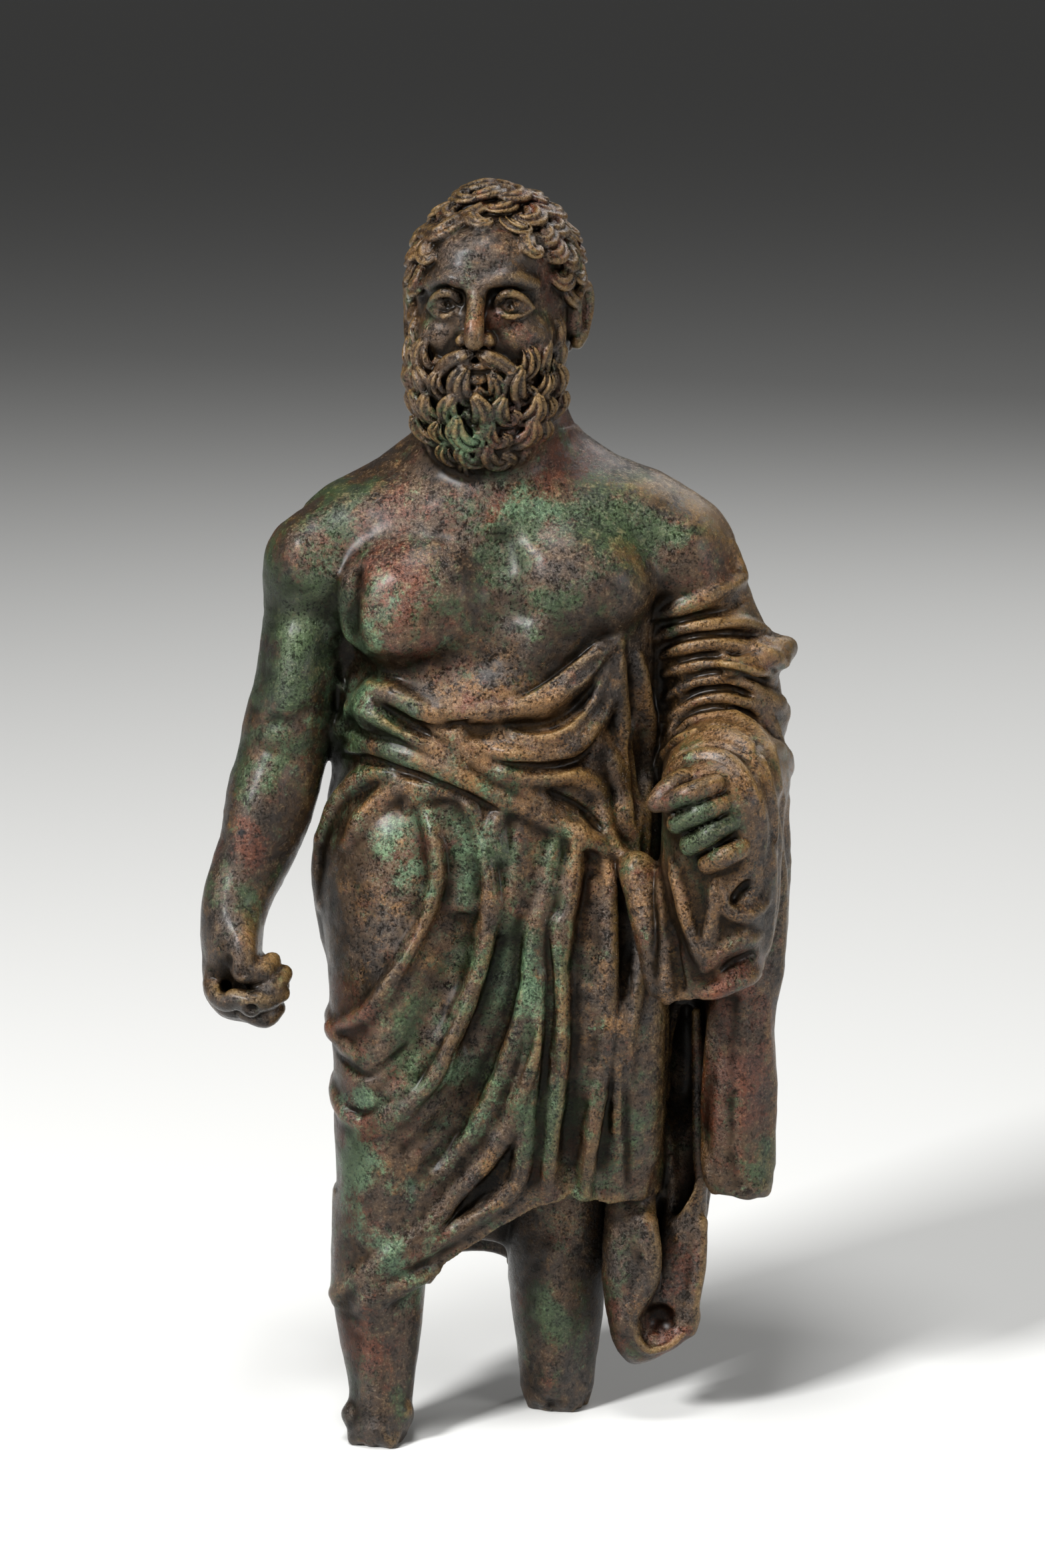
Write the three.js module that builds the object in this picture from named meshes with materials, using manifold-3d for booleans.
// A small Roman bronze of a standing bearded man in a mantle, preserved from the crown of the head to two broken legs.
// Millimetres, +Z up, the figure faces -Y and its own right side is towards -X.
// The figure was cast in one piece. It is modelled the way a founder's wax is: masses are laid on a body of clay,
// strips are pressed along its surface for the folds, and the clay is then turned into one closed surface.
import * as THREE from "three";
import { mergeVertices } from "three/addons/utils/BufferGeometryUtils.js";
import Module from "manifold-3d";

// Driving dimensions
const HEIGHT = 201; // crown to broken legs
const GRID = 1.0; // spacing of the clay's sample points
const FACES = 9600; // triangles kept on the finished surface
const FINE = { above: 152, weight: 3 }; // the head keeps more of them than its size would give it
const FALL_AWAY = 5; // a strip doesn't bridge a step deeper than this
const REACH = { low: [-52, -45, -3], high: [52, 30, 206] };

// Folds are drawn on a front elevation ruled in eighths of a millimetre, x to the right and y down.
// It is seen from a little above, as a figure on a table is.
const RULED = 1 / 8;
const ELEVATION = { centre: [666.5, 1000], target: [4.3, 0, 104.4], above: 10, distance: 694.4 };

const radians = THREE.MathUtils.degToRad;
const clamp = THREE.MathUtils.clamp;
const lerp = THREE.MathUtils.lerp;
const smoothstep = THREE.MathUtils.smoothstep;

// The smaller of two distances, with a fillet about as wide as blend.
function soften(a, b, blend) {
  if (blend <= 0) return Math.min(a, b);
  const near = Math.max(blend - Math.abs(a - b), 0) / blend;
  return Math.min(a, b) - near * near * blend * 0.25;
}

// Points on a smooth curve through control points, each a list of numbers such as x, y, z and radius.
function curve(points, perSpan = 5) {
  const last = points.length - 1;
  const made = [];
  for (let i = 0; i < last; i++) {
    const [a, b, c, d] = [points[Math.max(i - 1, 0)], points[i], points[i + 1], points[Math.min(i + 2, last)]];
    for (let s = 0; s < perSpan; s++) {
      const t = s / perSpan;
      made.push(b.map((_, k) => 0.5 * (2 * b[k] + (c[k] - a[k]) * t
        + (2 * a[k] - 5 * b[k] + 4 * c[k] - d[k]) * t * t
        + (3 * b[k] - a[k] - 3 * c[k] + d[k]) * t * t * t)));
    }
  }
  made.push(points[last]);
  return made;
}

function boxOf(points) {
  const low = [Infinity, Infinity, Infinity];
  const high = [-Infinity, -Infinity, -Infinity];
  for (const p of points)
    for (let k = 0; k < 3; k++) {
      low[k] = Math.min(low[k], p[k] - p[3]);
      high[k] = Math.max(high[k], p[k] + p[3]);
    }
  return { low, high };
}

// A roll of clay along a curve through [x, y, z, radius] points.
function roll(points, perSpan = 5) {
  const line = curve(points, perSpan);
  const distance = (x, y, z) => {
    let best = Infinity;
    for (let i = 0; i + 1 < line.length; i++) {
      const a = line[i];
      const b = line[i + 1];
      const [ux, uy, uz] = [b[0] - a[0], b[1] - a[1], b[2] - a[2]];
      const [vx, vy, vz] = [x - a[0], y - a[1], z - a[2]];
      const t = clamp((ux * vx + uy * vy + uz * vz) / (ux * ux + uy * uy + uz * uz + 1e-9), 0, 1);
      const d = Math.hypot(vx - ux * t, vy - uy * t, vz - uz * t) - lerp(a[3], b[3], t);
      if (d < best) best = d;
    }
    return best;
  };
  return { ...boxOf(line), distance };
}

// An ellipsoid. turn, when given, takes an offset from its middle into its own axes.
function egg(centre, radii, turn = null) {
  const most = Math.max(...radii);
  const distance = (x, y, z) => {
    let p = [x - centre[0], y - centre[1], z - centre[2]];
    if (turn) p = turn(p);
    const near = Math.hypot(p[0] / radii[0], p[1] / radii[1], p[2] / radii[2]);
    const steep = Math.hypot(p[0] / radii[0] ** 2, p[1] / radii[1] ** 2, p[2] / radii[2] ** 2);
    return steep < 1e-9 ? -Math.min(...radii) : (near * (near - 1)) / steep;
  };
  return { low: centre.map((c) => c - most), high: centre.map((c) => c + most), distance };
}

// An upright mass given by its level sections, each [z, middle x, middle y, half width, half depth], bottom first.
function stack(sections, power = 2) {
  const at = (z) => {
    let i = 0;
    while (i < sections.length - 2 && z > sections[i + 1][0]) i++;
    const [b, c] = [sections[i], sections[i + 1]];
    const [a, d] = [sections[i - 1] ?? b, sections[i + 2] ?? c];
    const t = clamp((z - b[0]) / (c[0] - b[0]), 0, 1);
    const span = c[0] - b[0];
    return [1, 2, 3, 4].map((k) => {
      const m0 = ((c[k] - a[k]) / (c[0] - a[0])) * span;
      const m1 = ((d[k] - b[k]) / (d[0] - b[0])) * span;
      const t2 = t * t;
      const t3 = t2 * t;
      return (2 * t3 - 3 * t2 + 1) * b[k] + (t3 - 2 * t2 + t) * m0 + (3 * t2 - 2 * t3) * c[k] + (t3 - t2) * m1;
    });
  };
  const foot = sections[0][0];
  const head = sections[sections.length - 1][0];
  const distance = (x, y, z) => {
    const [cx, cy, rx, ry] = at(clamp(z, foot, head));
    const [u, v] = [Math.abs(x - cx) / rx, Math.abs(y - cy) / ry];
    const near = (u ** power + v ** power) ** (1 / power);
    const steep = near < 1e-6 ? 1 : Math.hypot(u ** (power - 1) / rx, v ** (power - 1) / ry) / near ** (power - 1);
    const side = near < 1e-6 ? -Math.min(rx, ry) : (near - 1) / steep;
    const end = Math.max(foot - z, z - head);
    return end > 0 ? Math.hypot(end, Math.max(side, 0)) : Math.max(side, end);
  };
  const edge = (k, sign) => sections.map((s) => s[k] + sign * s[k + 2]);
  return {
    low: [Math.min(...edge(1, -1)), Math.min(...edge(2, -1)), foot],
    high: [Math.max(...edge(1, 1)), Math.max(...edge(2, 1)), head],
    distance,
  };
}

// A shape kept only where limit(x, y, z) is negative.
function trimmed(shape, limit) {
  return { ...shape, distance: (x, y, z) => Math.max(shape.distance(x, y, z), limit(x, y, z)) };
}

function thicker(shape, by) {
  return {
    low: shape.low.map((v) => v - by),
    high: shape.high.map((v) => v + by),
    distance: (x, y, z) => shape.distance(x, y, z) - by,
  };
}

// The body of clay: distances to its surface on a grid of points, negative inside.
class Clay {
  constructor({ low, high }, step) {
    this.low = low;
    this.step = step;
    this.count = low.map((v, k) => Math.ceil((high[k] - v) / step) + 1);
    this.field = new Float32Array(this.count[0] * this.count[1] * this.count[2]).fill(40);
  }

  index(i, j, k) {
    return (k * this.count[1] + j) * this.count[0] + i;
  }

  // Changes each grid point near a shape.
  work(shape, blend, change) {
    const margin = blend + 2.5 * this.step;
    const from = shape.low.map((v, k) => clamp(Math.floor((v - margin - this.low[k]) / this.step), 0, this.count[k]));
    const to = shape.high.map((v, k) =>
      clamp(Math.ceil((v + margin - this.low[k]) / this.step), -1, this.count[k] - 1));
    for (let k = from[2]; k <= to[2]; k++) {
      const z = this.low[2] + k * this.step;
      for (let j = from[1]; j <= to[1]; j++) {
        const y = this.low[1] + j * this.step;
        for (let i = from[0]; i <= to[0]; i++) {
          const n = this.index(i, j, k);
          this.field[n] = change(this.field[n], shape.distance(this.low[0] + i * this.step, y, z));
        }
      }
    }
  }

  // Leaves no clay in the outermost layer, so the surface closes inside the grid.
  close() {
    const [ni, nj, nk] = this.count;
    for (let k = 0; k < nk; k++)
      for (let j = 0; j < nj; j++)
        for (let i = 0; i < ni; i++) {
          const edge = i === 0 || j === 0 || k === 0 || i === ni - 1 || j === nj - 1 || k === nk - 1;
          if (edge) this.field[this.index(i, j, k)] = this.step;
        }
  }

  add(shape, blend = 1.5) {
    this.work(shape, blend, (clay, d) => soften(clay, d, blend));
  }

  cut(shape, blend = 1) {
    this.work(shape, blend, (clay, d) => -soften(-clay, d, blend));
  }

  // The distance at any point, from the eight grid points round it.
  at(p) {
    const q = p.map((v, k) => clamp((v - this.low[k]) / this.step, 0, this.count[k] - 1.001));
    const [i, j, k] = q.map(Math.floor);
    const [u, v, w] = [q[0] - i, q[1] - j, q[2] - k];
    const plane = (dk) => lerp(
      lerp(this.field[this.index(i, j, k + dk)], this.field[this.index(i + 1, j, k + dk)], u),
      lerp(this.field[this.index(i, j + 1, k + dk)], this.field[this.index(i + 1, j + 1, k + dk)], u), v);
    return lerp(plane(0), plane(1), w);
  }

  // Where a straight line first meets the clay, or null.
  meet(start, way, length) {
    const step = this.step * 0.4;
    let before = this.at(start);
    for (let t = step; t < length; t += step) {
      const here = this.at(start.map((v, k) => v + way[k] * t));
      if (here <= 0) {
        const back = t - (step * here) / (here - before || 1);
        return start.map((v, k) => v + way[k] * (here === before ? t : back));
      }
      before = here;
    }
    return null;
  }

  // The unit direction out of the clay at a point.
  outward(p) {
    const e = this.step;
    const slope = [0, 1, 2].map((k) => {
      const [a, b] = [[...p], [...p]];
      a[k] += e;
      b[k] -= e;
      return this.at(a) - this.at(b);
    });
    const size = Math.hypot(...slope) || 1;
    return slope.map((v) => v / size);
  }
}

// Lines of sight. Each takes two coordinates and gives a start, a direction and how far to look.
const SIGHT = {
  front(X, Y) {
    const tilt = radians(ELEVATION.above);
    const [a, b] = [(X - ELEVATION.centre[0]) * RULED, (ELEVATION.centre[1] - Y) * RULED];
    const eye = [ELEVATION.target[0], ELEVATION.target[1] - ELEVATION.distance * Math.cos(tilt),
      ELEVATION.target[2] + ELEVATION.distance * Math.sin(tilt)];
    const spot = [ELEVATION.target[0] + a, ELEVATION.target[1] + b * Math.sin(tilt),
      ELEVATION.target[2] + b * Math.cos(tilt)];
    const way = spot.map((v, k) => v - eye[k]);
    const far = Math.hypot(...way);
    const unit = way.map((v) => v / far);
    return [spot.map((v, k) => v - unit[k] * 46), unit, 92];
  },
  back: (x, z) => [[x, REACH.high[1] - 1, z], [0, -1, 0], 60],
  right: (y, z) => [[REACH.low[0] + 1, y, z], [1, 0, 0], 90],
  left: (y, z) => [[REACH.high[0] - 1, y, z], [-1, 0, 0], 90],
};

// The point that shows at X, Y on the front drawing and lies at a given depth, with a radius.
function placed([X, Y, deep, r]) {
  const [start, way] = SIGHT.front(X, Y);
  return [...start.map((v, k) => v + (way[k] * (deep - start[1])) / way[1]), r];
}

function placedRoll(points) {
  return roll(points.map(placed));
}

// A strip laid on the clay: points are [a, b, radius] on one of the sights, and relief is how much of the radius
// stands proud of the surface. A negative relief gives the same strip sunk above the surface, for cutting.
// Where the surface falls away the strip ends, and its longest stretch is kept.
function onSurface(clay, sight, points, relief) {
  let laid = [];
  let longest = [];
  let before = 0;
  for (const [a, b, r] of points) {
    const [start, way, far] = SIGHT[sight](a, b);
    const met = clay.meet(start, way, far);
    if (!met) continue;
    const out = clay.outward(met);
    const lift = relief >= 0 ? -r * (1 - relief) : r * (1 + relief);
    const place = met.map((v, k) => v + out[k] * lift);
    const depth = way.reduce((sum, v, k) => sum + v * (met[k] - start[k]), 0);
    if (laid.length && Math.abs(depth - before) > FALL_AWAY) laid = [];
    before = depth;
    laid.push([...place, r]);
    if (laid.length > longest.length) longest = laid;
  }
  return longest.length > 1 ? roll(longest, 3) : null;
}

// Presses on or cuts in a whole group of strips, all placed on the surface as it was before the first.
function strips(clay, sight, group, { relief, blend }) {
  const ready = group.map((points) => onSurface(clay, sight, curve(points, 4), relief));
  for (const shape of ready) if (shape) clay.add(shape, blend);
}

function grooves(clay, sight, group, { deep, blend }) {
  const ready = group.map((points) => onSurface(clay, sight, curve(points, 4), -deep));
  for (const shape of ready) if (shape) clay.cut(shape, blend);
}

// Bare trunk, from the hips to the neck
const TRUNK = [
  [88, 0, 2.2, 24, 17.6],
  [100, 0, 2, 24, 16.6],
  [112, 0, 2, 23.5, 15.6],
  [122, 0.3, 1.8, 24, 15.8],
  [131, 0.5, 2.2, 25, 16.4],
  [139, 0.5, 2.8, 27.5, 16],
  [146, 0.5, 3, 29.5, 13.8],
  [151, 0.5, 3, 25, 11.4],
  [155, 0.5, 3, 17, 9.4],
  [160, 0, 2.6, 8.5, 7],
];

function trunk(clay) {
  clay.add(stack(TRUNK), 0);
  clay.add(roll([[0, 5, 146, 10.5], [0.2, 2.4, 160, 10.9], [0.2, 2.4, 174, 11.1]]), 6);
  // chest
  clay.add(egg([-11.8, -8.2, 135.5], [12.2, 8.4, 9.6]), 3.5);
  clay.add(egg([-14.6, -9.2, 131.4], [9, 7, 6.4]), 3);
  clay.add(egg([12.6, -7.8, 137.5], [12.2, 7.4, 9.2]), 4);
  clay.add(egg([-15, -15.6, 128.3], [1.5, 1.3, 1.3]), 1.6);
  // shoulders
  clay.add(egg([-28, 1, 138.6], [7.8, 9, 9.4]), 5);
  clay.add(egg([-29.4, -3, 142], [4.4, 5, 5.4]), 4);
  clay.add(egg([29, 1.5, 142.2], [8, 9.2, 9.2]), 5);
  clay.add(roll([[-22, 4.5, 147, 5.6], [-9, 6.4, 153.6, 6.4], [0, 6, 156, 7], [9, 6.4, 154.2, 6.4],
    [22, 4.5, 149, 5.6]]), 7);
  // collar bones
  clay.add(roll([[-4, -6.2, 149.8, 1.4], [-14, -5.6, 149.4, 1.5], [-24, -2.4, 147.8, 1.4]]), 4.5);
  clay.add(roll([[4, -6.2, 150, 1.4], [14, -5.6, 150.2, 1.5], [24, -2.4, 149.4, 1.4]]), 4.5);
  // belly above the mantle
  clay.add(egg([-6, -4.5, 120], [17, 11.5, 8]), 3);
  clay.add(egg([5.4, -9.6, 130], [5, 5.4, 5]), 3);
  // shoulder blades and the furrow of the spine
  clay.add(egg([-15, 12, 140], [9, 6, 10]), 4);
  clay.add(egg([15, 12, 141], [9, 6, 10]), 4);
  clay.cut(roll([[0, 19.4, 146, 1.8], [0.3, 20.4, 136, 2], [0.3, 19.4, 122, 1.8]]), 3);
  // furrows between and below the breasts, and beside the right arm
  grooves(clay, "front", [
    [[640, 690, 3], [642, 745, 4.5], [634, 838, 3]],
    [[446, 800, 2], [484, 862, 3.6], [570, 862, 3.2], [616, 842, 2.4]],
  ], { deep: 0.2, blend: 3.5 });
  grooves(clay, "front", [[[470, 700, 0.8], [443, 790, 1.4], [442, 846, 1.2]]], { deep: 0.6, blend: 1.6 });
}

// The bare right arm, hanging, and its fist
function rightArm(clay) {
  clay.add(roll([
    [-28.6, 1, 139, 7.4],
    [-29.6, 1, 131, 7.1],
    [-31.4, 0.8, 121, 6.9],
    [-33.2, 0.2, 113, 7],
  ]), 3);
  clay.add(roll([
    [-32.6, 0.5, 116, 6.8],
    [-33.8, 0.2, 110, 7.1],
    [-36, -1.2, 101, 7],
    [-38.4, -3, 93, 5.8],
    [-40.4, -5, 86.5, 4.6],
    [-41.4, -6, 82, 4.2],
  ]), 0.8);
  // muscles of the two halves of the arm
  clay.add(roll([[-36.6, -5, 106, 2.6], [-38.4, -6.4, 99, 3], [-39.6, -7, 91, 2.2]]), 4);
  clay.add(roll([[-31, -5, 128, 2.6], [-31.8, -5.6, 121, 3.2], [-32.6, -5, 114.6, 2.4]]), 4);
  // back of the hand, its heel and its palm
  clay.add(egg([-41.8, -7, 78], [4.2, 5, 6.6]), 2.4);
  clay.add(placedRoll([[288, 1140, -4, 3.4], [285, 1215, -6.6, 3.1], [285, 1252, -8, 2.8]]), 1.5);
  clay.add(egg([-39.4, -6.6, 74.8], [4.4, 5.8, 4]), 1.2);
  clay.add(egg(placed([336, 1258, -8.6]).slice(0, 3), [2.6, 3, 2.6]), 0.8);
  // fingers curled round the stump of something now lost: depth, and where the tip shows
  for (const [deep, x, y] of [[-9.4, 357, 1243], [-6.6, 343, 1229], [-4, 340, 1238]]) {
    const down = (8 + deep) * 0.6;
    clay.add(placedRoll([[272, 1236 + down, deep, 1.4], [273, 1262 + down, deep, 1.6],
      [300, 1287 + down, deep, 1.7], [328, 1290 + down, deep, 1.7], [346, 1280 + down, deep, 1.6],
      [x, y, deep, 1.4]]), 0.3);
  }
  clay.add(placedRoll([[272, 1246, -8.4, 1.5], [275, 1264, -11, 1.7], [302, 1276, -13.8, 1.6], [342, 1279, -12.6, 1.5],
    [356, 1267, -10.8, 1.5]]), 0.4);
  clay.add(placedRoll([[321, 1284, -14.2, 1.75], [321, 1284, -6, 1.75]]), 0.4);
  // thumb laid down the front
  clay.add(placedRoll([[300, 1158, -8, 3.2], [306, 1188, -11, 2.9], [310, 1214, -13, 2.5], [311, 1237, -13.8, 2.2]]), 1);
  clay.cut(placedRoll([[290, 1224, -14.6, 0.8], [287, 1244, -14.6, 1], [288, 1258, -13, 0.9]]), 0.4);
}

// Head, in its own frame: origin between the ears, turned a little to the figure's right
const HEAD = { centre: [-0.2, 1, 181.2], turn: -10 };

function headPoint([x, y, z, r]) {
  const a = radians(HEAD.turn);
  return [
    HEAD.centre[0] + x * Math.cos(a) - y * Math.sin(a),
    HEAD.centre[1] + x * Math.sin(a) + y * Math.cos(a),
    HEAD.centre[2] + z,
    r,
  ];
}

function headRoll(points) {
  return roll(points.map(headPoint));
}

function headEgg(centre, radii) {
  const a = radians(HEAD.turn);
  const [c, s] = [Math.cos(a), Math.sin(a)];
  return egg(headPoint([...centre, 0]).slice(0, 3), radii, ([x, y, z]) => [x * c + y * s, y * c - x * s, z]);
}

const bothSides = (make) => [-1, 1].forEach(make);

function head(clay) {
  clay.add(headEgg([0, 2.2, 1.8], [12.7, 14.8, 15.4]), 3);
  clay.add(headEgg([0, -5, -4.5], [10.2, 9.6, 12]), 3);
  // brow, nose, cheeks
  clay.add(headRoll([[-7.6, -11.2, 3.4, 1.2], [-3.6, -13.9, 4.2, 1.4], [0, -14.4, 3.4, 1.2],
    [3.6, -13.9, 4.2, 1.4], [7.6, -11.2, 3.4, 1.2]]), 1.6);
  bothSides((side) => clay.cut(headEgg([side * 4.6, -15.2, 1], [3, 2.2, 1.9]), 1));
  bothSides((side) => clay.add(headEgg([side * 4.5, -11.9, 1.1], [2.6, 2.3, 1.7]), 0.5));
  clay.add(headRoll([[0, -13.8, 3, 1.2], [0, -15.8, -1, 1.4], [0, -17.4, -4.2, 1.6]]), 1);
  bothSides((side) => clay.add(headEgg([side * 1.6, -15.6, -4.8], [1.2, 1.5, 1.1]), 0.6));
  bothSides((side) => clay.add(headEgg([side * 6.6, -9.6, -3], [3.6, 3.4, 3.2]), 2));
  // ears
  bothSides((side) => clay.add(headRoll([[side * 12.6, 1.2, -6.6, 1.2], [side * 13.2, 1.6, -3.2, 1.2],
    [side * 13.6, 3.4, 0.6, 1.3], [side * 13, 1.2, 1.2, 1.1]]), 0.8));
  // mass of the beard, then the lips
  clay.add(headEgg([-0.4, -5.6, -15], [10.4, 9.4, 10]), 3);
  clay.add(headEgg([-0.2, -6.6, -20], [8.2, 7.2, 6.6]), 3);
  clay.add(headRoll([[-2.6, -15, -9.2, 0.8], [0, -15.9, -8.8, 0.9], [2.6, -15, -9.2, 0.8]]), 0.4);
  locks(clay);
}

// Locks of hair and beard: short hooked rolls set in rows round the head
function locks(clay) {
  const rows = [
    // [tilt of the row above the level of the ears, locks in it, how far round they go, radius]
    [80, 5, 180, 1.9], [61, 11, 180, 1.9], [43, 15, 180, 1.8],
    [26, 14, 134, 1.7], [9, 13, 122, 1.6], [-8, 11, 108, 1.6], [-25, 10, 100, 1.6],
  ];
  rows.forEach(([tilt, number, round, r], row) => {
    for (let n = 0; n < number; n++) {
      const step = (2 * round) / number;
      const around = radians(180 - round + (n + 0.5 + 0.5 * (row % 2)) * step);
      const up = radians(tilt + 5 * Math.sin(n * 2.4 + row));
      const hook = (n + row) % 2 ? 1 : -1;
      const place = (a, b) => {
        const [ca, sa, cb, sb] = [Math.cos(a), Math.sin(a), Math.cos(b), Math.sin(b)];
        return [13 * sa * cb, 2.2 - 15.1 * ca * cb, 1.8 + 15.7 * sb, r];
      };
      const [da, db] = [radians(9 * hook) / Math.max(Math.cos(up), 0.4), radians(9)];
      clay.add(headRoll([place(around + da, up + db), place(around, up + db * 0.4), place(around - da * 0.4, up - db),
        place(around + da, up - db * 1.2)]), 0.6);
    }
  });
  // the beard's curls, in rows from ear to ear, longest below the chin
  const beard = [
    [-7.4, 9.6, 9.4, 4, 1.4], [-11.6, 10.5, 10.2, 7, 1.6], [-15.8, 10.4, 10.4, 8, 1.7],
    [-19.8, 9.2, 9.6, 7, 1.8], [-23.6, 6.6, 7.4, 5, 1.8],
  ];
  beard.forEach(([z, halfWidth, depth, number, r], row) => {
    for (let n = 0; n < number; n++) {
      const part = (n + 0.5) / number;
      if (row === 0 && Math.abs(part - 0.5) < 0.3) continue;
      const around = radians(-92 + 184 * part);
      const hook = (n + row) % 2 ? 1 : -1;
      const place = (da, dz, out) => [
        (halfWidth + out) * Math.sin(around + da) - 0.6,
        -5.6 - (depth + out) * Math.cos(around + da) * 0.98,
        z + dz,
        r,
      ];
      clay.add(headRoll([place(0.12 * hook, 2.4, -0.6), place(-0.1 * hook, 1, -0.2), place(-0.08 * hook, -1.2, 0),
        place(0.14 * hook, -1.6, 0)]), 0.6);
    }
  });
  // moustache
  bothSides((side) => clay.add(headRoll([[side * 0.8, -16, -6.6, 1.2], [side * 3, -15.6, -7.4, 1.3],
    [side * 5.4, -13.6, -9.8, 1.3], [side * 6, -13, -12, 1]]), 0.5));
}

// Legs: the right one broken through the ankle, the left one through the shin
function legs(clay) {
  clay.add(stack([[-2.6, -19.2, -13.4, 5.3, 6.7], [2, -19, -13.2, 5.2, 6.6], [8, -18.4, -12, 5.1, 6],
    [16, -18.6, -10.6, 6.5, 7], [24, -18.7, -9, 7.5, 8], [40, -18, -7, 8.2, 8.6]]), 1);
  clay.add(egg([-22.4, -12, 2.6], [1.8, 2.8, 2]), 1);
  clay.add(egg([-14.8, -12, 3.4], [1.5, 2.6, 1.8]), 1);
  clay.add(egg([-19.2, -17.2, 0.4], [4.4, 2.8, 2.4]), 1.2);
  clay.add(stack([[-2.6, 10, 5.2, 6.1, 7.5], [4, 10, 5.2, 6.1, 7.5], [12, 10, 5.4, 7, 8], [20, 10, 5.4, 7.8, 8.6],
    [30, 10.2, 5.2, 8.4, 9], [44, 11, 4.8, 8.8, 9]]), 1);
}

// Where the legs broke off. Each break stands on four corners and chips away outwards from them.
const BREAKS = [
  { corners: [[-23.6, -16.2], [-16, -18.6], [-14.1, -12], [-19.8, -6.9]], up: 3, spread: 1.5 },
  { corners: [[5.2, 1.8], [12.6, -0.8], [15.2, 7.6], [9, 12]], up: 4, spread: 1.5 },
];

// Height of the mantle's lower edge: rising across the front, arched behind
const ARCH = { top: 22.6, middle: -3.8, half: 7, down: 2.6 };
const HEM = [[-30, 22], [-20, 22.5], [-14, 25], [-6, 30.5], [1, 36], [7, 39], [12, 40], [18, 38.6], [40, 38]];

function hemAt(x, y) {
  let i = 0;
  while (i < HEM.length - 2 && x > HEM[i + 1][0]) i++;
  const [a, b] = [HEM[i], HEM[i + 1]];
  const front = lerp(a[1], b[1], clamp((x - a[0]) / (b[0] - a[0]), 0, 1));
  // behind, an arch between the legs
  const back = ARCH.top - ARCH.down * Math.min(Math.abs((x - ARCH.middle) / ARCH.half), 1) ** 3;
  return lerp(front, back, smoothstep(y, -3, 5));
}

const SKIRT = [
  [20, 2, 1.2, 23.4, 15.2],
  [30, 1.4, 0.8, 24.4, 15.2],
  [45, 0.8, -0.4, 25.4, 16],
  [60, 0.8, -0.2, 26, 16.8],
  [75, 0.6, 0.8, 26.6, 17.8],
  [88, 0, 1.6, 27.6, 18.4],
  [101, 0, 2, 26.4, 17],
  [112, 0, 2, 22.4, 14.6],
];

// The mantle wrapped round the hips and legs
function skirt(clay) {
  const shell = new Clay(REACH, GRID);
  shell.add(stack(SKIRT), 0);
  shell.add(roll([[-13.6, -2, 94, 12.6], [-14.6, -7.6, 68, 11.2], [-16.2, -8.8, 48, 9.2], [-17.9, -9, 22, 8.3]]), 5);
  shell.add(roll([[13.5, 0, 94, 14], [13.5, -4.4, 68, 13], [13, -1.6, 46, 12], [12, 3, 22, 11]]), 6);
  shell.add(egg([-11, 12, 93], [13, 9, 14]), 5);
  shell.add(egg([12, 12, 94], [13, 9, 14]), 5);
  const cloth = {
    low: [-31, -26, 18],
    high: [31, 24, 116],
    distance: (x, y, z) => Math.max(shell.at([x, y, z]), hemAt(x, y) - z),
  };
  clay.add(cloth, 1.5);
  // the hollow under the hem
  clay.cut({
    low: [-27, -22, 18],
    high: [27, 20, 44],
    distance: (x, y, z) => Math.max(shell.at([x, y, z]) + 2.2, z - hemAt(x, y) - 5),
  }, 1.2);
}

const skirtFolds = [
  // long folds that swing from the left hip to the right shin
  [[536, 1006, 1.2], [557, 1097, 2], [539, 1182, 2.1], [502, 1245, 1.8], [418, 1320, 1.2]],
  [[600, 1020, 1.2], [623, 1119, 2.1], [613, 1219, 2.5], [576, 1319, 2.5], [492, 1436, 1]],
  [[665, 1040, 1.1], [652, 1145, 1.4], [644, 1184, 0.9]],
  [[708, 1072, 1.3], [683, 1187, 2.2], [662, 1310, 2.1], [606, 1440, 1.6], [560, 1496, 1]],
  [[688, 1250, 1.6], [676, 1368, 2.3], [618, 1480, 2.5], [539, 1563, 2.4], [433, 1645, 2]],
  [[676, 1386, 1.2], [668, 1482, 1.9], [602, 1557, 1.8], [539, 1594, 1.8], [430, 1652, 1.5]],
  // upright folds over the left leg
  [[739, 1052, 1.2], [724, 1164, 1.4], [716, 1215, 0.9]],
  [[714, 1180, 1.2], [712, 1370, 2], [698, 1518, 1.9]],
  [[777, 1110, 1.4], [775, 1280, 2], [746, 1524, 1.8]],
  [[813, 1108, 1.6], [808, 1280, 2], [788, 1440, 1.6]],
];

const tubeFold = [[838, 1180, 2], [834, 1250, 3.4], [820, 1450, 5], [818, 1532, 5]];

const skirtFurrows = [
  [[697, 1140, 1.6], [660, 1245, 2.8], [613, 1372, 2.6], [517, 1467, 1.4]],
  [[588, 1060, 1.2], [582, 1190, 2.2], [524, 1332, 1.8], [486, 1392, 1.2]],
  [[645, 1060, 1], [640, 1180, 1.8], [596, 1330, 1.4]],
  [[745, 1171, 1.2], [736, 1330, 2], [728, 1518, 1.8]],
  [[793, 1130, 1], [786, 1270, 1.8], [768, 1520, 1.6]],
  [[655, 1440, 1.2], [570, 1552, 1.8], [440, 1650, 1]],
  [[640, 1330, 1], [575, 1460, 1.5], [530, 1510, 1]],
];

const hipRolls = [
  [[539, 971, 1.2], [470, 988, 1.7], [414, 1064, 1.8], [412, 1154, 1.2]],
  [[600, 996, 1.2], [507, 1006, 1.7], [440, 1076, 1.2]],
  [[420, 978, 1.1], [424, 952, 1.4], [530, 966, 1.1]],
  [[520, 1026, 1], [590, 1012, 1.2], [604, 1040, 1]],
];

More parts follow.
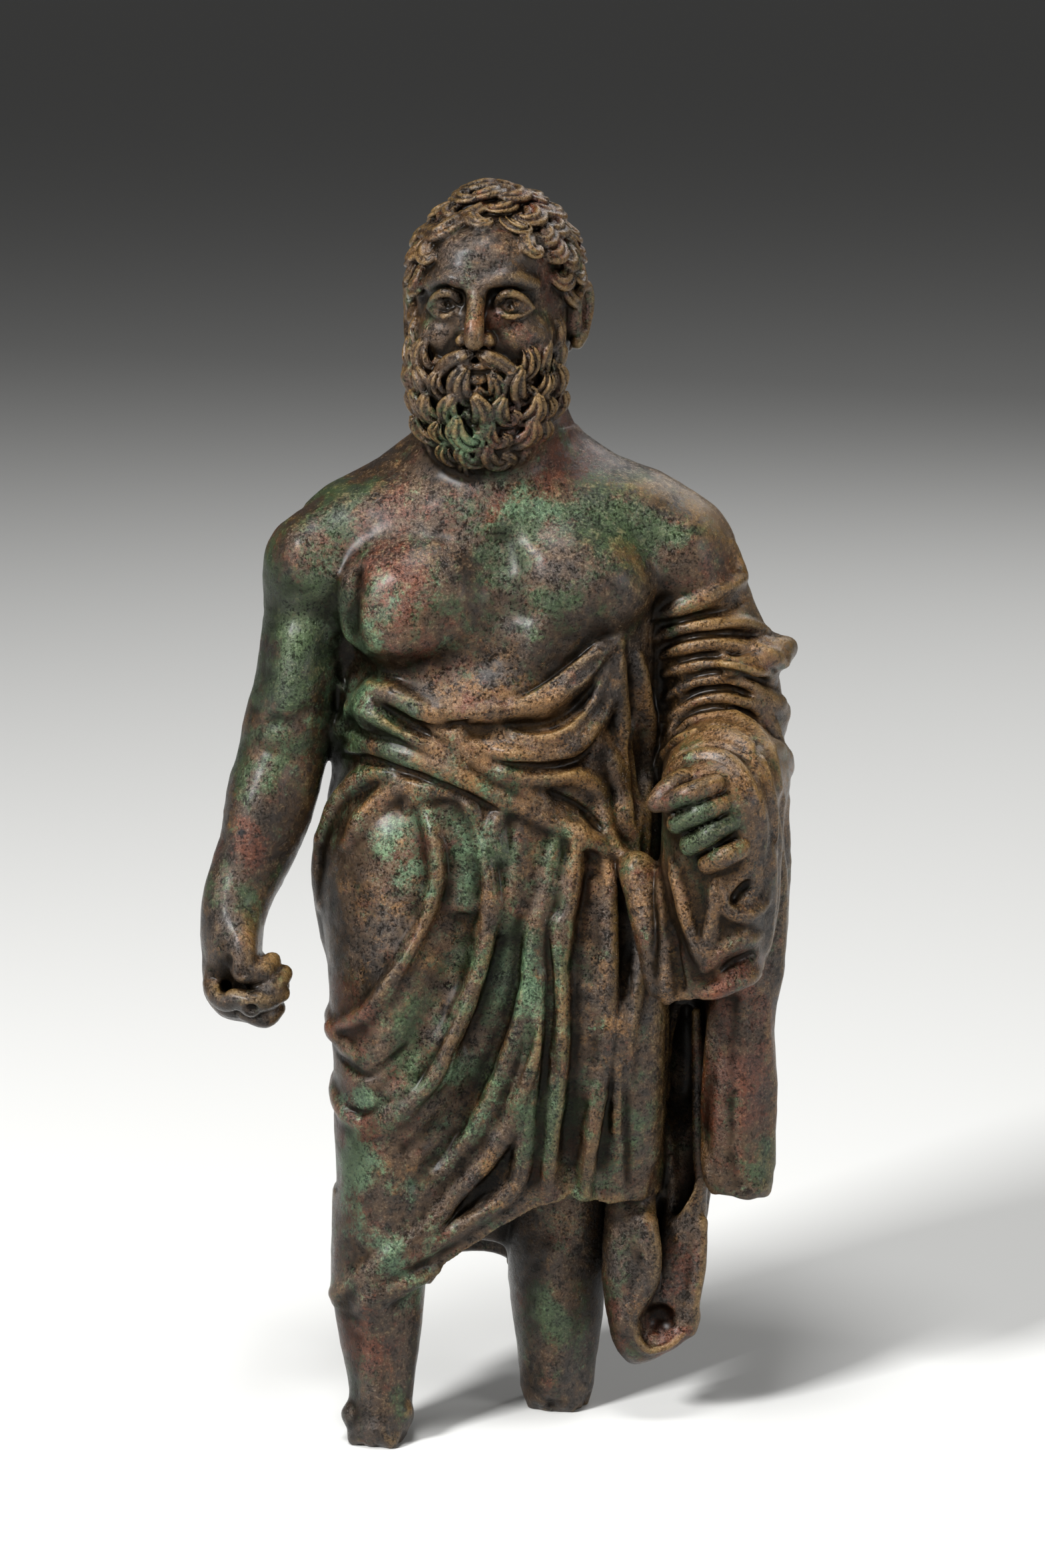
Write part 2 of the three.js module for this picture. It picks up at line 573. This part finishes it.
// The mantle's thick upper edge, drawn across the belly, and the overfold hanging from it
const wrapTop = (x, y) => {
  const front = 118.5 + 0.72 * Math.max(x - 2, 0) + 0.12 * Math.max(-x - 14, 0);
  const back = 128 + 0.34 * (x + 25);
  return lerp(front, back, smoothstep(y, -5, 5));
};

function mantle(clay) {
  const body = thicker(stack(TRUNK), 1.5);
  clay.add(trimmed(body, (x, y, z) => z - wrapTop(x, y)), 0.8);
  // cloth that fills the gap to the left arm
  clay.add(roll([[27, 5, 141, 6], [27.6, 4.4, 128, 6.4], [28.4, 4, 114, 6.8], [28.6, 3.6, 98, 6.6]]), 3);
  strips(clay, "front", hipRolls, { relief: 0.7, blend: 1.5 });
  // fullness of the overfold
  strips(clay, "front", [
    [[640, 960, 6], [700, 985, 6], [760, 1010, 5]],
    [[690, 930, 6], [750, 950, 6], [790, 1000, 4]],
  ], { relief: 0.22, blend: 1.5 });
  // the twisted band from under the right arm down to the point of the overfold, and its cords
  strips(clay, "front", [[[412, 905, 4.2], [510, 930, 4.2], [610, 990, 2.2]]], { relief: 0.5, blend: 1.4 });
  strips(clay, "front", [
    [[397, 916, 1.6], [494, 955, 2.2], [621, 1008, 2.3], [763, 1074, 2], [812, 1094, 2]],
    [[470, 872, 1.4], [530, 902, 2], [621, 976, 2], [716, 1036, 1.4]],
    [[450, 816, 1.2], [412, 862, 1.7], [398, 914, 1.5]],
  ], { relief: 0.62, blend: 1.2 });
  strips(clay, "front", [
    [[560, 908, 1.2], [640, 905, 1.8], [706, 890, 1.9], [766, 832, 1.8], [790, 816, 1.8]],
    [[610, 950, 1.2], [704, 962, 2.1], [776, 890, 1.9], [788, 846, 1.5]],
    [[660, 938, 0.9], [732, 920, 1.5], [778, 840, 1.1]],
    [[790, 822, 1.7], [794, 930, 2], [806, 1042, 2], [814, 1092, 2]],
    [[815, 836, 1.5], [825, 960, 1.8], [826, 1090, 1.4]],
    [[640, 984, 1.1], [736, 990, 1.5], [772, 1044, 1.4], [790, 1084, 1.2]],
  ], { relief: 0.65, blend: 1.4 });
  grooves(clay, "front", [
    [[645, 924, 0.7], [716, 918, 1.3], [758, 874, 0.7]],
    [[724, 876, 0.6], [748, 856, 1.1], [768, 838, 0.8]],
    [[640, 972, 0.6], [690, 978, 0.9], [770, 930, 0.6]],
    [[406, 882, 1.1], [416, 902, 1.3]],
    [[804, 850, 0.8], [810, 990, 1], [816, 1060, 0.8]],
  ], { deep: 0.75, blend: 0.6 });
}

// Left arm wrapped in the mantle, the hand that gathers it, and the cloth that hangs from it
function leftArm(clay) {
  clay.add(roll([[29.8, 1.5, 141, 8], [32.6, 2.5, 132, 8.9], [35.2, 3, 122, 9.6], [36, 3.5, 114, 9.8],
    [36, 2.5, 107, 9.6]]), 2.5);
  clay.add(roll([[36.4, 2.5, 107, 9.6], [36.2, -8, 107, 9.6], [35, -17, 106.6, 9.2], [34.2, -22, 106, 8.2]]), 2);
  // cloth over the side, down to the hip
  clay.add(stack([[74, 36.4, -2, 8, 11], [82, 36.6, -2.4, 8.4, 12], [92, 37, -3, 8.8, 12.6],
    [100, 36.6, -3.6, 9.2, 12.6], [108, 36.4, -3, 9, 11]], 2.3), 3);
  // cloth that hangs from the wrist to a slanting edge
  const bunch = stack([[70, 33.6, -15, 8, 11], [80, 34, -15.5, 8.4, 12], [90, 34.6, -16, 8.8, 12.6],
    [100, 35, -16, 9, 12.4], [106, 35, -15, 8, 11]], 2.4);
  clay.add(trimmed(bunch, (x, y, z) => 74.2 + 0.3 * Math.max(x - 27, 0) + 0.16 * Math.max(y + 16, 0) - z), 1.5);
  clay.add(placedRoll([[832, 1100, -19, 2.2], [835, 1180, -19.5, 2.4], [838, 1250, -20, 2.2]]), 2);
  clay.cut(stack([[66, 34.6, -17.6, 4.6, 5.4], [84, 35, -17.8, 5, 6], [96, 35.4, -16.4, 3.6, 4.4]], 2.2), 1);
  strips(clay, "front", [
    // rings of cloth round the arm
    [[838, 786, 1.2], [900, 762, 1.7], [950, 712, 1.4], [930, 690, 1.1]],
    [[840, 812, 1.2], [910, 796, 1.6], [980, 806, 1.5]],
    [[846, 836, 1.1], [930, 820, 1.6], [1003, 846, 1.5]],
    [[848, 860, 1.1], [930, 846, 1.5], [1002, 874, 1.3]],
    [[850, 890, 1.2], [936, 868, 1.6], [1000, 914, 1.4]],
    [[850, 922, 1.2], [934, 892, 1.7], [1001, 962, 1.5]],
    [[844, 956, 1.2], [918, 912, 1.7], [990, 984, 1.6], [1000, 1060, 1.3]],
    [[837, 980, 1.2], [912, 934, 1.7], [981, 1008, 1.6], [989, 1090, 1.5]],
    [[836, 1002, 1.2], [906, 960, 1.6], [966, 1026, 1.6], [972, 1090, 1.4]],
  ], { relief: 0.65, blend: 0.9 });
  // where one turn of cloth ends over the next
  clay.add(roll([[36, -8, 124.2, 1.2], [41, -6, 125, 1.7], [44.6, -1, 125.2, 2.2], [44.4, 5, 126, 2],
    [40, 10, 127.5, 1.4]]), 1.4);
  fist(clay);
  strips(clay, "front", [
    [[838, 1060, 1.2], [850, 1200, 1.5], [850, 1276, 1.5]],
    [[856, 1096, 1.1], [880, 1186, 1.6], [898, 1230, 1.3]],
    [[914, 1120, 1], [902, 1200, 1.5], [898, 1232, 1.3]],
    [[852, 1278, 1.5], [908, 1266, 1.6], [968, 1240, 1.4]],
    [[924, 1142, 1.1], [950, 1166, 1.5], [980, 1120, 1]],
    [[900, 1232, 1.1], [944, 1200, 1.4], [972, 1192, 1.1]],
  ], { relief: 0.6, blend: 1 });
  grooves(clay, "front", [
    [[936, 1148, 0.9], [944, 1138, 1.3], [958, 1122, 1]],
    [[920, 1238, 0.8], [942, 1226, 1.2], [966, 1214, 0.9]],
  ], { deep: 0.8, blend: 0.5 });
}

// The left hand, seen from the backs of its fingers
function fist(clay) {
  clay.add(egg([36.6, -24, 103.5], [5.4, 6.4, 8.2]), 2);
  const fingers = [
    [[852, 1022], [912, 998]],
    [[864, 1048], [922, 1023]],
    [[880, 1076], [932, 1048]],
    [[904, 1100], [944, 1080]],
  ];
  for (const [tip, knuckle] of fingers) {
    const middle = tip.map((v, k) => (v + knuckle[k]) / 2);
    clay.add(placedRoll([[...tip, -29.4, 1.6], [...middle, -31.2, 1.65], [...knuckle, -29.6, 1.7]]), 0.2);
  }
  clay.add(placedRoll([[838, 1022, -28.6, 1.5], [850, 1006, -28.2, 1.7], [872, 992, -26.5, 1.8]]), 0.3);
}

// Cloth hanging at the figure's left side to the shins
function fall(clay) {
  // outer panel, squared off at its foot
  clay.add(stack([[39.4, 38.8, -3.6, 4.4, 6.4], [42, 38.8, -3.6, 5.2, 7.2], [50, 38.6, -3.6, 5, 7.6],
    [62, 38.5, -3.6, 5, 7.8], [74, 38.6, -3.6, 5.4, 8.4],
    [84, 38.4, -3.4, 6.4, 9.4], [92, 37.4, -3, 7.4, 10]], 3.4), 1);
  // sheet behind, joining it to the mantle
  clay.add(stack([[12, 24.4, 0.4, 3.4, 1.8], [17, 26, 0.8, 6.4, 2.6], [30, 26.6, 1.6, 7.6, 3.2], [50, 28, 3, 8.6, 4],
    [80, 30, 3, 8, 6], [96, 30, 2, 8, 8]], 2.4), 1.5);
  // two folds of the lower end, and the lip that closes them below
  clay.add(roll([[21.9, -2, 48, 3.6], [21.7, -4, 34, 4.2], [21.5, -4.6, 24, 4.2], [21.7, -4.6, 16, 3.2],
    [22.6, -4.2, 11.6, 2]]), 1);
  clay.add(roll([[31.6, -1, 48, 2.8], [31.2, -2, 34, 3], [30.5, -2.8, 24, 3], [29.7, -3.2, 18, 2.5]]), 1);
  clay.add(roll([[22.6, -4, 11.4, 1.9], [26, -3.6, 13, 1.8], [29.7, -3.6, 16, 1.9]]), 0.8);
  strips(clay, "front", [
    [[906, 1290, 1.1], [900, 1440, 1.4], [912, 1524, 1.4]],
    [[980, 1250, 1.2], [979, 1420, 1.4], [983, 1496, 1.5]],
    [[912, 1524, 1.4], [945, 1524, 1.4], [974, 1512, 1.4]],
  ], { relief: 0.5, blend: 1.2 });
  grooves(clay, "front", [
    [[876, 1292, 2.8], [876, 1360, 3], [875, 1450, 2.8], [864, 1524, 2], [851, 1560, 0.9], [849, 1640, 0.7]],
  ], { deep: 1.6, blend: 0.8 });
  // the ridge and the open end of the folds
  clay.add(placedRoll([[824, 1560, -7.6, 1.4], [830, 1632, -8.4, 1.5], [800, 1684, -8, 1.2]]), 2.6);
  clay.cut(egg(placed([841, 1684, -6.4]).slice(0, 3), [3.5, 4.6, 3]), 0.8);
  clay.add(placedRoll([[800, 1684, -7.6, 1.2], [796, 1712, -7.2, 1.4], [812, 1732, -6.8, 1.6], [842, 1712, -7, 1.5],
    [882, 1684, -5.8, 1.3]]), 0.8);
}

// The back: cloth from the left shoulder to the right hip, then down in long folds
const backFolds = [
  [[27, 141, 1.4], [12, 137, 1.9], [-6, 131, 2], [-20, 125, 1.8], [-27, 122, 1.4]],
  [[27, 134, 1.3], [12, 128, 1.8], [-6, 120, 1.9], [-22, 110, 1.6]],
  [[28, 126, 1.3], [14, 116, 1.8], [-2, 104, 1.9], [-18, 90, 1.7], [-24, 78, 1.2]],
  [[30, 116, 1.4], [18, 98, 1.9], [4, 82, 2], [-10, 66, 1.8], [-18, 50, 1.3]],
  [[31, 104, 1.5], [22, 82, 1.9], [10, 62, 2], [0, 44, 1.8], [-6, 30, 1.4]],
  [[30, 88, 1.5], [25, 68, 1.9], [18, 48, 2], [13, 30, 1.6]],
  [[-16, 60, 1.2], [-18, 44, 1.6], [-19, 30, 1.5]],
];

const sideFolds = [
  [[-6, 118, 1.2], [2, 108, 1.5], [6, 96, 1.4], [6, 80, 1.1]],
  [[-4, 96, 1.2], [2, 76, 1.5], [4, 56, 1.5], [2, 38, 1.2]],
  [[-16, 64, 1], [-8, 67, 1.5], [2, 68, 1.3]],
  [[-16, 53, 1], [-8, 56, 1.4], [4, 58, 1.2]],
];

// The left side: cloth falling from the forearm, and the bands it makes behind the elbow
const hangingFolds = [
  [[-24, 99, 1.2], [-22, 90, 1.7], [-20, 82, 1.5]],
  [[-19, 103, 1.2], [-17, 92, 1.8], [-15, 80, 1.6]],
  [[-13, 104, 1.2], [-10, 88, 1.8], [-7, 62, 1.7], [-7, 44, 1.5]],
  [[-7, 103, 1.2], [-4, 86, 1.7], [-2, 62, 1.7], [-2, 44, 1.5]],
  [[0, 102, 1.3], [2, 84, 1.7], [2, 60, 1.6]],
  [[6, 104, 1.3], [8, 88, 1.6], [7, 74, 1.4]],
  [[-16, 113, 1], [-6, 111, 1.6], [4, 104, 1.6], [9, 94, 1.2]],
  [[-8, 119, 1], [0, 117, 1.6], [8, 110, 1.5], [12, 102, 1.1]],
  [[-4, 128, 1], [3, 126, 1.5], [9, 120, 1.4]],
];

function figure(clay) {
  trunk(clay);
  head(clay);
  skirt(clay);
  grooves(clay, "front", skirtFurrows, { deep: 0.45, blend: 2 });
  strips(clay, "front", [tubeFold], { relief: 0.5, blend: 1.6 });
  strips(clay, "front", skirtFolds, { relief: 0.6, blend: 1.8 });
  mantle(clay);
  strips(clay, "back", backFolds, { relief: 0.72, blend: 1.6 });
  strips(clay, "right", sideFolds, { relief: 0.6, blend: 1.4 });
  rightArm(clay);
  fall(clay);
  leftArm(clay);
  strips(clay, "left", hangingFolds, { relief: 0.6, blend: 1.3 });
  legs(clay);
}

// Marching tetrahedra: six to each cube of the grid, all sharing its long diagonal, so the surface always closes.
const TETRAHEDRA = [[0, 1, 3, 7], [0, 1, 5, 7], [0, 2, 3, 7], [0, 2, 6, 7], [0, 4, 5, 7], [0, 4, 6, 7]];

function surface(clay) {
  const { count, field, low, step } = clay;
  const corner = [0, 1, 2, 3, 4, 5, 6, 7].map((c) => clay.index(c & 1, (c >> 1) & 1, c >> 2));
  const place = (n) => {
    const i = n % count[0];
    const j = Math.floor(n / count[0]) % count[1];
    const k = Math.floor(n / (count[0] * count[1]));
    return [low[0] + i * step, low[1] + j * step, low[2] + k * step];
  };
  const points = [];
  const made = new Map();
  const onEdge = (a, b) => {
    const [m, n] = a < b ? [a, b] : [b, a];
    const key = m * 2097152 + (n - m);
    if (!made.has(key)) {
      const t = clamp(field[m] / (field[m] - field[n]), 0.03, 0.97);
      const [p, q] = [place(m), place(n)];
      made.set(key, points.length);
      points.push(p.map((v, axis) => lerp(v, q[axis], t)));
    }
    return made.get(key);
  };
  const faces = [];
  const face = (ids, inside) => {
    const [a, b, c] = ids.map((id) => points[id]);
    const [u, v] = [b.map((n, axis) => n - a[axis]), c.map((n, axis) => n - a[axis])];
    const normal = [u[1] * v[2] - u[2] * v[1], u[2] * v[0] - u[0] * v[2], u[0] * v[1] - u[1] * v[0]];
    const side = normal.reduce((sum, n, axis) => sum + n * (a[axis] - inside[axis]), 0);
    faces.push(side > 0 ? ids : [ids[0], ids[2], ids[1]]);
  };
  for (let k = 0; k < count[2] - 1; k++)
    for (let j = 0; j < count[1] - 1; j++)
      for (let i = 0; i < count[0] - 1; i++) {
        const base = clay.index(i, j, k);
        const value = corner.map((c) => field[base + c]);
        const inCube = value.filter((v) => v < 0).length;
        if (inCube === 0 || inCube === 8) continue;
        for (const tetrahedron of TETRAHEDRA) {
          const inner = tetrahedron.filter((c) => value[c] < 0);
          const outer = tetrahedron.filter((c) => value[c] >= 0);
          if (!inner.length || !outer.length) continue;
          const node = (c) => base + corner[c];
          const inside = place(node(inner[0]));
          if (inner.length === 1) face(outer.map((c) => onEdge(node(inner[0]), node(c))), inside);
          else if (outer.length === 1) face(inner.map((c) => onEdge(node(outer[0]), node(c))), inside);
          else {
            const [a, b] = inner;
            const [c, d] = outer;
            const ring = [[a, c], [a, d], [b, d], [b, c]].map(([p, q]) => onEdge(node(p), node(q)));
            face([ring[0], ring[1], ring[2]], inside);
            face([ring[0], ring[2], ring[3]], inside);
          }
        }
      }
  return { points, faces };
}

// Keeps only the largest closed piece.
function largest({ points, faces }) {
  const parent = points.map((_, n) => n);
  const find = (n) => {
    while (parent[n] !== n) n = parent[n] = parent[parent[n]];
    return n;
  };
  for (const [a, b, c] of faces) {
    parent[find(a)] = find(b);
    parent[find(b)] = find(c);
  }
  const sizes = new Map();
  for (const [a] of faces) sizes.set(find(a), (sizes.get(find(a)) ?? 0) + 1);
  const [best] = [...sizes].sort((p, q) => q[1] - p[1])[0];
  return { points, faces: faces.filter(([a]) => find(a) === best) };
}

// Thins a closed surface to a number of faces by collapsing the edges that change it least.
function thinned({ points, faces }, target) {
  const place = points.map((p) => [...p]);
  const ring = points.map(() => new Set());
  const alive = faces.map((ids) => [...ids]);
  alive.forEach((ids, f) => ids.forEach((v) => ring[v].add(f)));
  const normalOf = (a, b, c) => {
    const [u, v] = [[b[0] - a[0], b[1] - a[1], b[2] - a[2]], [c[0] - a[0], c[1] - a[1], c[2] - a[2]]];
    return [u[1] * v[2] - u[2] * v[1], u[2] * v[0] - u[0] * v[2], u[0] * v[1] - u[1] * v[0]];
  };
  // Each point carries the sum of squared distances to its faces' planes, as ten numbers.
  const error = points.map(() => new Float64Array(10));
  for (const ids of alive) {
    const [a, b, c] = ids.map((v) => place[v]);
    const n = normalOf(a, b, c);
    const size = Math.hypot(...n) * (a[2] > FINE.above ? FINE.weight : 1);
    if (size < 1e-12) continue;
    const [x, y, z] = n.map((v) => v / Math.hypot(...n));
    const w = -(x * a[0] + y * a[1] + z * a[2]);
    const plane = [x * x, x * y, x * z, x * w, y * y, y * z, y * w, z * z, z * w, w * w];
    for (const v of ids) plane.forEach((term, k) => (error[v][k] += term * size));
  }
  const costAt = (q, [x, y, z]) => q[0] * x * x + 2 * q[1] * x * y + 2 * q[2] * x * z + 2 * q[3] * x
    + q[4] * y * y + 2 * q[5] * y * z + 2 * q[6] * y + q[7] * z * z + 2 * q[8] * z + q[9];
  const bestPlace = (q, p0, p1) => {
    const solve = new THREE.Matrix3().set(q[0], q[1], q[2], q[1], q[4], q[5], q[2], q[5], q[7]);
    const size = solve.determinant();
    const middle = p0.map((v, k) => (v + p1[k]) / 2);
    const choices = [middle, p0, p1];
    if (Math.abs(size) > 1e-9) {
      const at = new THREE.Vector3(-q[3], -q[6], -q[8]).applyMatrix3(solve.invert()).toArray();
      const span = Math.hypot(...p0.map((v, k) => v - p1[k]));
      if (Math.hypot(...at.map((v, k) => v - middle[k])) < span) choices.push(at);
    }
    return choices.reduce((best, p) => (costAt(q, p) < costAt(q, best) ? p : best));
  };
  const heap = [];
  const push = (entry) => {
    let i = heap.push(entry) - 1;
    while (i > 0) {
      const up = (i - 1) >> 1;
      if (heap[up].cost <= heap[i].cost) break;
      [heap[up], heap[i]] = [heap[i], heap[up]];
      i = up;
    }
  };
  const pop = () => {
    const top = heap[0];
    const end = heap.pop();
    if (heap.length) {
      heap[0] = end;
      let i = 0;
      for (;;) {
        let small = i;
        for (const next of [2 * i + 1, 2 * i + 2])
          if (next < heap.length && heap[next].cost < heap[small].cost) small = next;
        if (small === i) break;
        [heap[small], heap[i]] = [heap[i], heap[small]];
        i = small;
      }
    }
    return top;
  };
  const stamp = new Int32Array(points.length);
  const neighbours = (v) => {
    const found = new Set();
    for (const f of ring[v]) for (const other of alive[f]) if (other !== v) found.add(other);
    return found;
  };
  const consider = (a, b) => {
    const q = error[a].map((v, k) => v + error[b][k]);
    const at = bestPlace(q, place[a], place[b]);
    const length = Math.hypot(...place[a].map((v, k) => v - place[b][k]));
    push({ a, b, at, cost: costAt(q, at) + 1e-4 * length * length, stamps: [stamp[a], stamp[b]] });
  };
  for (let v = 0; v < points.length; v++) for (const other of neighbours(v)) if (v < other) consider(v, other);
  const keepsShape = (v, gone, at) => {
    for (const f of ring[v]) {
      const ids = alive[f];
      if (ids.includes(gone)) continue;
      const old = normalOf(...ids.map((id) => place[id]));
      const now = normalOf(...ids.map((id) => (id === v ? at : place[id])));
      const dot = old[0] * now[0] + old[1] * now[1] + old[2] * now[2];
      const sizes = Math.hypot(...old) * Math.hypot(...now);
      if (dot < 0.35 * sizes || Math.hypot(...now) < 0.004) return false;
    }
    return true;
  };
  let left = faces.length;
  while (left > target && heap.length) {
    const { a, b, at, stamps } = pop();
    if (stamps[0] !== stamp[a] || stamps[1] !== stamp[b] || !ring[a].size || !ring[b].size) continue;
    const around = neighbours(b);
    const shared = [...neighbours(a)].filter((v) => around.has(v));
    if (shared.length !== 2 || !keepsShape(a, b, at) || !keepsShape(b, a, at)) continue;
    for (const f of [...ring[b]]) {
      if (alive[f].includes(a)) {
        for (const v of alive[f]) ring[v].delete(f);
        left--;
      } else {
        alive[f] = alive[f].map((v) => (v === b ? a : v));
        ring[b].delete(f);
        ring[a].add(f);
      }
    }
    place[a] = at;
    error[a] = error[a].map((v, k) => v + error[b][k]);
    stamp[a]++;
    stamp[b]++;
    for (const other of neighbours(a)) consider(a, other);
  }
  const kept = new Set();
  ring.forEach((set) => set.forEach((f) => kept.add(f)));
  return { points: place, faces: [...kept].map((f) => alive[f]) };
}

function geometryOf({ points, faces }) {
  const geometry = new THREE.BufferGeometry();
  geometry.setAttribute("position", new THREE.Float32BufferAttribute(points.flat(), 3));
  geometry.setIndex(faces.flat());
  return geometry;
}

const wasm = await Module();
wasm.setup();

function solidOf(geometry) {
  const bare = geometry.clone();
  bare.deleteAttribute("normal");
  bare.deleteAttribute("uv");
  const merged = mergeVertices(bare, 1e-4);
  return new wasm.Manifold(new wasm.Mesh({
    numProp: 3,
    vertProperties: merged.attributes.position.array,
    triVerts: new Uint32Array(merged.index.array),
  }));
}

function geometryFrom(solid) {
  const mesh = solid.getMesh();
  const geometry = new THREE.BufferGeometry();
  const position = new Float32Array(mesh.numVert * 3);
  for (let v = 0; v < mesh.numVert; v++)
    position.set(mesh.vertProperties.subarray(v * mesh.numProp, v * mesh.numProp + 3), v * 3);
  geometry.setAttribute("position", new THREE.BufferAttribute(position, 3));
  geometry.setIndex(new THREE.BufferAttribute(mesh.triVerts, 1));
  return geometry;
}

// Keeps the end of a leg only inside a block that narrows down to the corners it stands on.
function brokenOff(solid, { corners, up, spread }) {
  const middle = [0, 1].map((k) => corners.reduce((sum, corner) => sum + corner[k], 0) / corners.length);
  const level = (z) => corners.map((corner) => [
    ...corner.map((v, k) => lerp(middle[k], v, 1 + (z / up) * (spread - 1))), z]);
  const kept = wasm.Manifold.hull([...level(-1), ...level(up)]);
  const round = solidOf(new THREE.BoxGeometry(28, 28, up + 1).translate(...middle, (up - 1) / 2));
  return solid.subtract(round.subtract(kept));
}

const clay = new Clay(REACH, GRID);
figure(clay);
clay.close();
const rough = thinned(largest(surface(clay)), FACES);
const below = new THREE.BoxGeometry(200, 200, 40).translate(0, 0, -20);
const standing = solidOf(geometryOf(rough)).subtract(solidOf(below));
const cast = geometryFrom(BREAKS.reduce(brokenOff, standing));

// The origin is under the middle of the figure, on what it stands on.
cast.computeBoundingBox();
const middle = cast.boundingBox.getCenter(new THREE.Vector3());
cast.translate(-middle.x, -middle.y, 0);
cast.computeVertexNormals();

const bronze = new THREE.MeshStandardMaterial({ color: 0x4a4a30, roughness: 0.5, metalness: 0.6, flatShading: true });
const body = new THREE.Mesh(cast, bronze);
body.name = "figure";

const statuette = new THREE.Group();
statuette.name = "statuette";
statuette.userData.height = HEIGHT;
statuette.add(body);

export default statuette;
